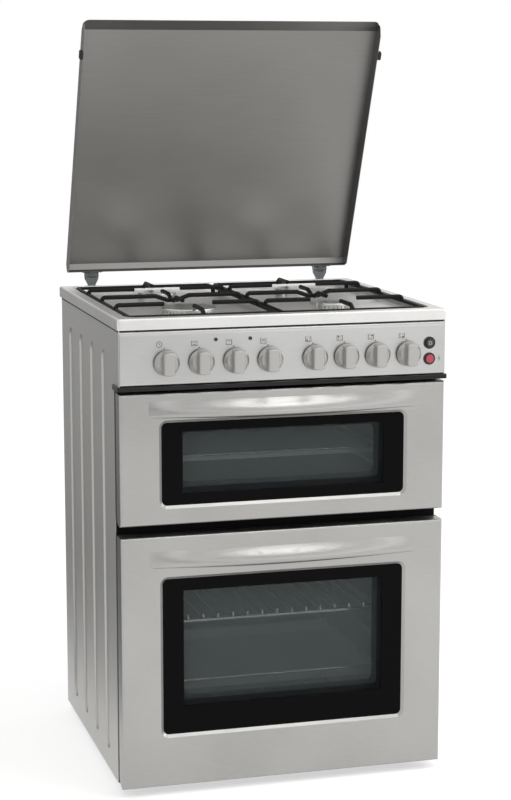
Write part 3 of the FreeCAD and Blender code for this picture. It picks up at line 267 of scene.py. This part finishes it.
def speckledEnamel(look):
    # oven ground coat: grey glass with lighter flecks fired into it, its ground painted paler than real
    # enamel as painted light for the light inside the oven
    mat, face = newFinish("speckled oven enamel with painted light")
    where = objectPlace(mat)
    cells = addNode(mat, "ShaderNodeTexVoronoi", {"Vector": where, "Scale": perMetre(look["spacing"])})
    dot = remap(mat, cells["Distance"], look["dot"], (1, 0))
    wave = noise(mat, where, perMetre(look["ripple"]))
    wire(mat, face, {"Base Color": blend(mat, dot, look["ground"], look["fleck"]), "Roughness": look["rough"],
                     "Normal": bumpFrom(mat, wave, look["lift"], look["depth"])})
    return mat


# painted light: the pale ground stands in for light inside the oven; the enamel itself is a darker grey
enamelLookPaintedLight = {"ground": "#B4BBB8", "fleck": "#D0D5D2", "spacing": 5, "dot": (0.12, 0.24), "ripple": 12,
              "lift": 0.2, "depth": 0.0003, "rough": 0.3}
dress(speckledEnamel(enamelLookPaintedLight), "lower_cavity", "upper_cavity")


def printedPane(name, node, look):
    # toughened glass, black ceramic print fired on its border, clear in the middle
    mat, face = newFinish(name)
    low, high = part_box(node)
    axis = addNode(mat, "ShaderNodeSeparateXYZ", {0: objectPlace(mat)})
    clearLow = low.z + look["foot"] / 1000
    clearHigh = high.z - look["head"] / 1000
    up = calc(mat, "ABSOLUTE", calc(mat, "SUBTRACT", axis[2], (clearLow + clearHigh) / 2))
    up = calc(mat, "SUBTRACT", up, (clearHigh - clearLow) / 2)
    side = calc(mat, "SUBTRACT", calc(mat, "ABSOLUTE", axis[0]), high.x - look["side"] / 1000)
    inked = remap(mat, calc(mat, "MAXIMUM", up, side), (-look["feather"], look["feather"]))
    wire(mat, face, {"Base Color": blend(mat, inked, look["veil"], look["ink"]), "Roughness": look["rough"],
                     "Alpha": remap(mat, inked, (0, 1), (look["smoke"], 1)),
                     "Specular IOR Level": look["shine"]})
    return mat


outerPane = {"ink": "#0B0A0A", "veil": "#2C3231", "smoke": 0.1, "shine": 0.05, "rough": 0.06,
             "feather": 0.0004, "side": 46}
lowerPane = dict(outerPane, foot=58, head=30.5)
upperPane = dict(outerPane, foot=28, head=25)
dress(printedPane("printed door glass lower", "lower_outer_glass", lowerPane), "lower_outer_glass")
dress(printedPane("printed door glass upper", "upper_outer_glass", upperPane), "upper_outer_glass")


def paneWithPaintedHaze(look):
    # float glass, a little green in its thickness, its part-opaque grey body a painted haze that stands in
    # for the light seen through the window
    mat, face = newFinish("inner glass with painted haze")
    wire(mat, face, {"Base Color": hexColour(look["tint"]), "Roughness": look["rough"], "Alpha": look["body"],
                     "Specular IOR Level": look["shine"]})
    return mat


# painted light: the grey tint and part opacity of the inner pane stand in for the light seen through the
# window
paneHazeLook = {"tint": "#768080", "body": 0.36, "rough": 0.05, "shine": 0.3}
dress(paneWithPaintedHaze(paneHazeLook), "lower_inner_glass", "upper_inner_glass", "oven_lamps")
print("glass and enamel on")


def newObject(name, bm, mat):
    mesh = bpy.data.meshes.new(name)
    bm.to_mesh(mesh)
    bm.free()
    mesh.materials.append(mat)
    thing = bpy.data.objects.new(name, mesh)
    scene.collection.objects.link(thing)
    return thing


def newPiece(name, bm, mat, body):
    # drawn in millimetres, kept in metres
    bmesh.ops.scale(bm, vec=(0.001, 0.001, 0.001), verts=bm.verts)
    bmesh.ops.recalc_face_normals(bm, faces=bm.faces)
    piece = newObject(name, bm, mat)
    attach(piece, body)


def middleOf(node):
    # in millimetres
    low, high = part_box(node)
    return (low + high) * 500


def addRod(bm, place, radius, length, sides, tip=None):
    # round bar about its middle, along its local Z axis
    return bmesh.ops.create_cone(bm, cap_ends=True, segments=sides, radius1=radius,
                                 radius2=radius if tip is None else tip, depth=length, matrix=place)["verts"]


def addBlock(bm, place, size):
    bmesh.ops.create_cube(bm, size=1, matrix=place @ Matrix.Diagonal((*size, 1)))


def addStub(bm, place, look):
    # short round bar that stands on its local XY plane, the rim of its head softened
    verts = addRod(bm, place @ Matrix.Translation((0, 0, look["tall"] / 2)), look["radius"], look["tall"],
                   look["sides"])
    top = place @ Vector((0, 0, look["tall"]))
    way = place.to_3x3() @ Vector((0, 0, 1))
    rim = {e for v in verts for e in v.link_edges
           if all(abs((w.co - top).dot(way)) < 0.01 for w in e.verts)}
    bmesh.ops.bevel(bm, geom=list(rim), offset=look["round"], segments=3, profile=0.5, affect="EDGES",
                    material=-1)


def printStroke(bm, spot, start, end, look):
    run = Vector((end[0] - start[0], 0, end[1] - start[1]))
    middle = Vector((start[0] + end[0], 0, start[1] + end[1])) / 2
    turn = Vector((1, 0, 0)).rotation_difference(run).to_matrix().to_4x4()
    addBlock(bm, Matrix.Translation(spot + middle) @ turn,
             (run.length + look["line"], look["film"], look["line"]))


def printRing(bm, spot, radius, look):
    half = look["line"] / 2
    film = look["film"] / 2
    ring = [bm.verts.new(spot + Vector((radius + a * half, b * film, 0)))
            for a, b in ((-1, -1), (1, -1), (1, 1), (-1, 1))]
    sides = [bm.edges.new((ring[i - 1], ring[i])) for i in range(4)]
    bmesh.ops.spin(bm, geom=ring + sides, cent=spot, axis=(0, 1, 0), angle=2 * math.pi, steps=28,
                   use_merge=True)


def printDot(bm, spot, radius, look):
    addRod(bm, Matrix.Translation(spot) @ Matrix.Rotation(quarter, 4, "X"), radius, look["film"], 20)


# plain pictograms over the knobs: clock, oven heats, grill and the four burner places
markLook = {"line": 0.9, "film": 0.24, "aside": 12.5, "level": 812, "half": (5, 4.2), "bigDot": 1.5,
            "smallDot": 0.7, "dotSpread": 0.45, "indexAside": 4, "indexLevel": 804.5, "indexDot": 1.1,
            "sparkAside": 18.5}
heatStrokes = {
    "knob_timer": [((0, 0), (0, 2.8)), ((0, 0), (2, -1))],
    "knob_main_oven": [((-2.8, 2.1), (2.8, 2.1)), ((-2.8, -2.1), (2.8, -2.1))],
    "knob_top_oven": [((-2.8, 2.1), (2.8, 2.1))],
    "knob_grill": [((-3, 0.4), (-1.5, 2)), ((-1.5, 2), (0, 0.4)), ((0, 0.4), (1.5, 2)),
                   ((1.5, 2), (3, 0.4))],
}
sparkStrokes = [((1, 4), (-1.4, 0.2)), ((-1.4, 0.2), (1.4, -0.2)), ((1.4, -0.2), (-1, -4))]
burnerPlaces = {"knob_front_left": (-1, -1), "knob_rear_left": (-1, 1), "knob_rear_right": (1, 1),
                "knob_front_right": (1, -1)}
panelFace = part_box("control_panel")[0].y * 1000
w, h = markLook["half"]
frameStrokes = [((-w, -h), (w, -h)), ((w, -h), (w, h)), ((w, h), (-w, h)), ((-w, h), (-w, -h))]
bm = bmesh.new()
for name in knobNames:
    across = middleOf(name).x
    spot = Vector((across - markLook["aside"], panelFace, markLook["level"]))
    if name == "knob_timer":
        printRing(bm, spot, w, markLook)
    else:
        for start, end in frameStrokes:
            printStroke(bm, spot, start, end, markLook)
    for start, end in heatStrokes.get(name, []):
        printStroke(bm, spot, start, end, markLook)
    if name in burnerPlaces:
        for sx in (-1, 1):
            for sz in (-1, 1):
                place = Vector((sx * w, 0, sz * h)) * markLook["dotSpread"]
                dot = "bigDot" if (sx, sz) == burnerPlaces[name] else "smallDot"
                printDot(bm, spot + place, markLook[dot], markLook)
    printDot(bm, Vector((across - markLook["indexAside"], panelFace, markLook["indexLevel"])),
             markLook["indexDot"], markLook)
button = middleOf("spark_button")
spot = Vector((button.x + markLook["sparkAside"], panelFace, button.z))
for start, end in sparkStrokes:
    printStroke(bm, spot, start, end, markLook)
newPiece("panel_marks", bm, made["dark screen ink"], "cabinet")

# lamp sign on the light button
lampSign = {"line": 0.7, "film": 0.24, "ring": 2.1, "rays": 8, "rayFrom": 3, "rayTo": 4.4}
button = middleOf("light_button")
spot = Vector((button.x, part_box("light_button")[0].y * 1000, button.z))
bm = bmesh.new()
printRing(bm, spot, lampSign["ring"], lampSign)
for i in range(lampSign["rays"]):
    angle = 2 * math.pi * i / lampSign["rays"]
    way = Vector((math.cos(angle), math.sin(angle)))
    printStroke(bm, spot, way * lampSign["rayFrom"], way * lampSign["rayTo"], lampSign)
newPiece("light_sign", bm, made["white screen ink"], "light_button")

# black strips under the rim of the hob on the side panels: painted shade, a dark line where the rim's shadow
# falls
rimShadeStrip = {"tall": 3, "proud": 0.9, "sunk": 0.3, "short": 2}
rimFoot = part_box("hob_top")[0].z * 1000
bm = bmesh.new()
for name, way in (("side_panel_left", -1), ("side_panel_right", 1)):
    low, high = (corner * 1000 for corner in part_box(name))
    face = max(abs(low.x), abs(high.x))
    middle = Vector((way * (face + (rimShadeStrip["proud"] - rimShadeStrip["sunk"]) / 2), (low.y + high.y) / 2,
                     rimFoot - rimShadeStrip["tall"] / 2))
    addBlock(bm, Matrix.Translation(middle), (rimShadeStrip["proud"] + rimShadeStrip["sunk"],
                                              high.y - low.y - 2 * rimShadeStrip["short"], rimShadeStrip["tall"]))
newPiece("rim_shade_strips", bm, made["black nitrile rubber"], "cabinet")

# bright front bar of the shelf, with the wire ends turned up over it
barLook = {"bar": 4, "barSides": 20, "back": 3.5, "count": 14, "pitch": 28, "radius": 2.6, "tall": 12,
           "round": 1.2, "sides": 12}
low, high = (corner * 1000 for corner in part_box("lower_shelf"))
bar = Vector((0, low.y + barLook["back"], low.z + barLook["back"]))
bm = bmesh.new()
addRod(bm, Matrix.Translation(bar) @ Matrix.Rotation(quarter, 4, "Y"), barLook["bar"],
       high.x - low.x - 2 * barLook["bar"], barLook["barSides"])
for i in range(barLook["count"]):
    across = (i - (barLook["count"] - 1) / 2) * barLook["pitch"]
    addStub(bm, Matrix.Translation(bar + Vector((across, 0, 0))), barLook)
newPiece("shelf_front_bar", bm, made["bright chrome bar"], "cabinet")

# rolled beads along the front rims of the trays
beadLook = {"radius": 2, "sides": 16, "inset": 16, "lowerRim": 20.5, "upperRim": 0.5}
low, high = (corner * 1000 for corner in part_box("oven_trays"))
bm = bmesh.new()
for level in (low.z + beadLook["lowerRim"], high.z - beadLook["upperRim"]):
    addRod(bm, Matrix.Translation((0, low.y, level)) @ Matrix.Rotation(quarter, 4, "Y"), beadLook["radius"],
           high.x - low.x - 2 * beadLook["inset"], beadLook["sides"])
newPiece("tray_beads", bm, made["bright chrome bar"], "cabinet")

# spark needles: wire that leans out of each ceramic towards its burner
needleLook = {"foot": 0.8, "tip": 0.45, "sides": 12, "long": 7.5, "sunk": 1.2, "lean": 24, "top": 854,
              "spots": (((-98.5, -74), (-1, -1)), ((-107, 109.4), (-1, 1)), ((107, 109.4), (1, 1)),
                        ((114, -89.5), (1, -1)))}
lean = math.tan(math.radians(needleLook["lean"])) * math.sqrt(0.5)
bm = bmesh.new()
for (x, y), (sx, sy) in needleLook["spots"]:
    up = Vector((sx * lean, sy * lean, 1)).normalized()
    middle = Vector((x, y, needleLook["top"])) + up * (needleLook["long"] / 2 - needleLook["sunk"])
    turn = Vector((0, 0, 1)).rotation_difference(up).to_matrix().to_4x4()
    addRod(bm, Matrix.Translation(middle) @ turn, needleLook["foot"], needleLook["long"],
           needleLook["sides"], needleLook["tip"])
newPiece("spark_needles", bm, made["nickelled steel"], "cabinet")

# screws of the lid leaves, set on the closed lid and turned up with it
leafScrew = {"radius": 2.8, "tall": 1.6, "round": 0.7, "sides": 24, "aside": 16.7, "hinges": (-236, 236),
             "face": 279.5, "level": 876.5, "axis": (0, 287.5, 880), "open": -66.5}
raised = (Matrix.Translation(leafScrew["axis"]) @ Matrix.Rotation(math.radians(leafScrew["open"]), 4, "X")
          @ Matrix.Translation([-c for c in leafScrew["axis"]]))
bm = bmesh.new()
for x in leafScrew["hinges"]:
    for side in (-1, 1):
        flat = Matrix.Translation((x + side * leafScrew["aside"], leafScrew["face"], leafScrew["level"]))
        addStub(bm, raised @ flat @ Matrix.Rotation(-quarter, 4, "X"), leafScrew)
newPiece("leaf_screws", bm, made["nickelled steel"], "lid")

# cover screws of the terminal box
coverScrew = {"radius": 3.2, "tall": 1.8, "round": 0.8, "sides": 24, "face": 291.5,
              "spots": ((-242, 150), (-178, 150), (-242, 96))}
bm = bmesh.new()
for x, z in coverScrew["spots"]:
    addStub(bm, Matrix.Translation((x, coverScrew["face"], z)) @ Matrix.Rotation(-quarter, 4, "X"),
            coverScrew)
newPiece("cover_screws", bm, made["nickelled steel"], "cabinet")
print("marks and small fittings on")


def seenDirectly(owner):
    # 1 for what the camera sees straight, in metal or through glass
    path = addNode(owner, "ShaderNodeLightPath", {})
    seen = calc(owner, "MAXIMUM", path["Is Camera Ray"], path["Is Glossy Ray"])
    return calc(owner, "MAXIMUM", seen, path["Is Transmission Ray"])


# floor, matt white, lifted to the white of the backdrop
floorLook = {"colour": "#F4F4F3", "rough": 0.9, "size": 9, "lift": 0.52}
floorPaint, floorFace = newFinish("pale studio floor")
lift = calc(floorPaint, "MULTIPLY", seenDirectly(floorPaint), floorLook["lift"])
wire(floorPaint, floorFace, {"Base Color": hexColour(floorLook["colour"]), "Roughness": floorLook["rough"],
                             "Emission Color": (1, 1, 1, 1), "Emission Strength": lift})
bm = bmesh.new()
bmesh.ops.create_grid(bm, x_segments=1, y_segments=1, size=floorLook["size"])
floor = newObject("floor", bm, floorPaint)


def standCard(name, faces, paint):
    # a card out of the picture, there only for the metal and glass that mirror it
    bm = bmesh.new()
    for corners in faces:
        bm.faces.new([bm.verts.new(c) for c in corners])
    bmesh.ops.remove_doubles(bm, verts=bm.verts, dist=0.0001)
    card = newObject(name, bm, paint)
    card.visible_camera = False
    card.visible_shadow = False
    card.visible_diffuse = False


# grey card on the left, bent along the floor, darker at its foot
cardLook = {"low": "#646464", "high": "#B8B8B8", "fade": 0.6, "rough": 0.9, "from": (-2.6, 0.1, 0.004),
            "to": (-0.48, 1.6, 1.9)}
cardPaint, cardFace = newFinish("matt grey card")
rise = addNode(cardPaint, "ShaderNodeSeparateXYZ", {0: objectPlace(cardPaint)})[2]
fade = remap(cardPaint, rise, (0, cardLook["fade"]))
wire(cardPaint, cardFace, {"Base Color": blend(cardPaint, fade, cardLook["low"], cardLook["high"]),
                           "Roughness": cardLook["rough"]})
x0, y0, z0 = cardLook["from"]
x1, y1, z1 = cardLook["to"]
standCard("grey_card", (((x0, y0, z0), (x1, y0, z0), (x1, y1, z0), (x0, y1, z0)),
                        ((x0, y1, z0), (x1, y1, z0), (x1, y1, z1), (x0, y1, z1))), cardPaint)

# dark flag in front, which shades the left end of the control panel
flagLook = {"colour": "#1C1C1C", "rough": 0.9, "from": (-0.75, 0.5), "to": (-0.02, 1.02), "front": -2.2}
flagPaint, flagFace = newFinish("matt dark flag")
wire(flagPaint, flagFace, {"Base Color": hexColour(flagLook["colour"]), "Roughness": flagLook["rough"]})
x0, z0 = flagLook["from"]
x1, z1 = flagLook["to"]
y0 = flagLook["front"]
standCard("dark_flag", (((x0, y0, z0), (x1, y0, z0), (x1, y0, z1), (x0, y0, z1)),), flagPaint)

# white backdrop, dimmer as a light than to the eye
worldLook = {"seen": 1, "light": 0.55}
world = bpy.data.worlds.new("studio")
scene.world = world
world.use_nodes = True
level = remap(world, seenDirectly(world), (0, 1), (worldLook["light"], worldLook["seen"]))
wire(world, world.node_tree.nodes["Background"], {"Color": (1, 1, 1, 1), "Strength": level})

lamps = {
    "key softbox": {"place": (3, -1.2, 1.9), "aim": (0, 0, 0.6), "size": (2.2, 1.8), "watts": 26},
    "top softbox": {"place": (0.65, -1.03, 2.65), "aim": (0, -0.28, 0.58), "size": (0.85, 0.9),
                    "watts": 7.5},
    "front softbox": {"place": (0.95, -3.2, 1.2), "aim": (0, -0.2, 0.4), "size": (1.2, 1), "watts": 4},
}
for name, look in lamps.items():
    data = bpy.data.lights.new(name, "AREA")
    data.shape = "RECTANGLE"
    data.size, data.size_y = look["size"]
    data.energy = look["watts"]
    lamp = bpy.data.objects.new(name, data)
    lamp.location = look["place"]
    way = Vector(look["aim"]) - Vector(look["place"])
    lamp.rotation_euler = way.to_track_quat("-Z", "Y").to_euler()
    scene.collection.objects.link(lamp)

cameraLook = {"place": (-0.98487, -3.57721, 1.27486), "pitch": 80.64, "yaw": -15.69, "lens": 89.65,
              "sensor": 36}
cameraData = bpy.data.cameras.new("camera")
cameraData.lens = cameraLook["lens"]
cameraData.sensor_width = cameraLook["sensor"]
camera = bpy.data.objects.new("camera", cameraData)
camera.location = cameraLook["place"]
camera.rotation_euler = (math.radians(cameraLook["pitch"]), 0, math.radians(cameraLook["yaw"]))
scene.collection.objects.link(camera)
scene.camera = camera
scene.view_settings.view_transform = "Standard"
print("camera and light set")
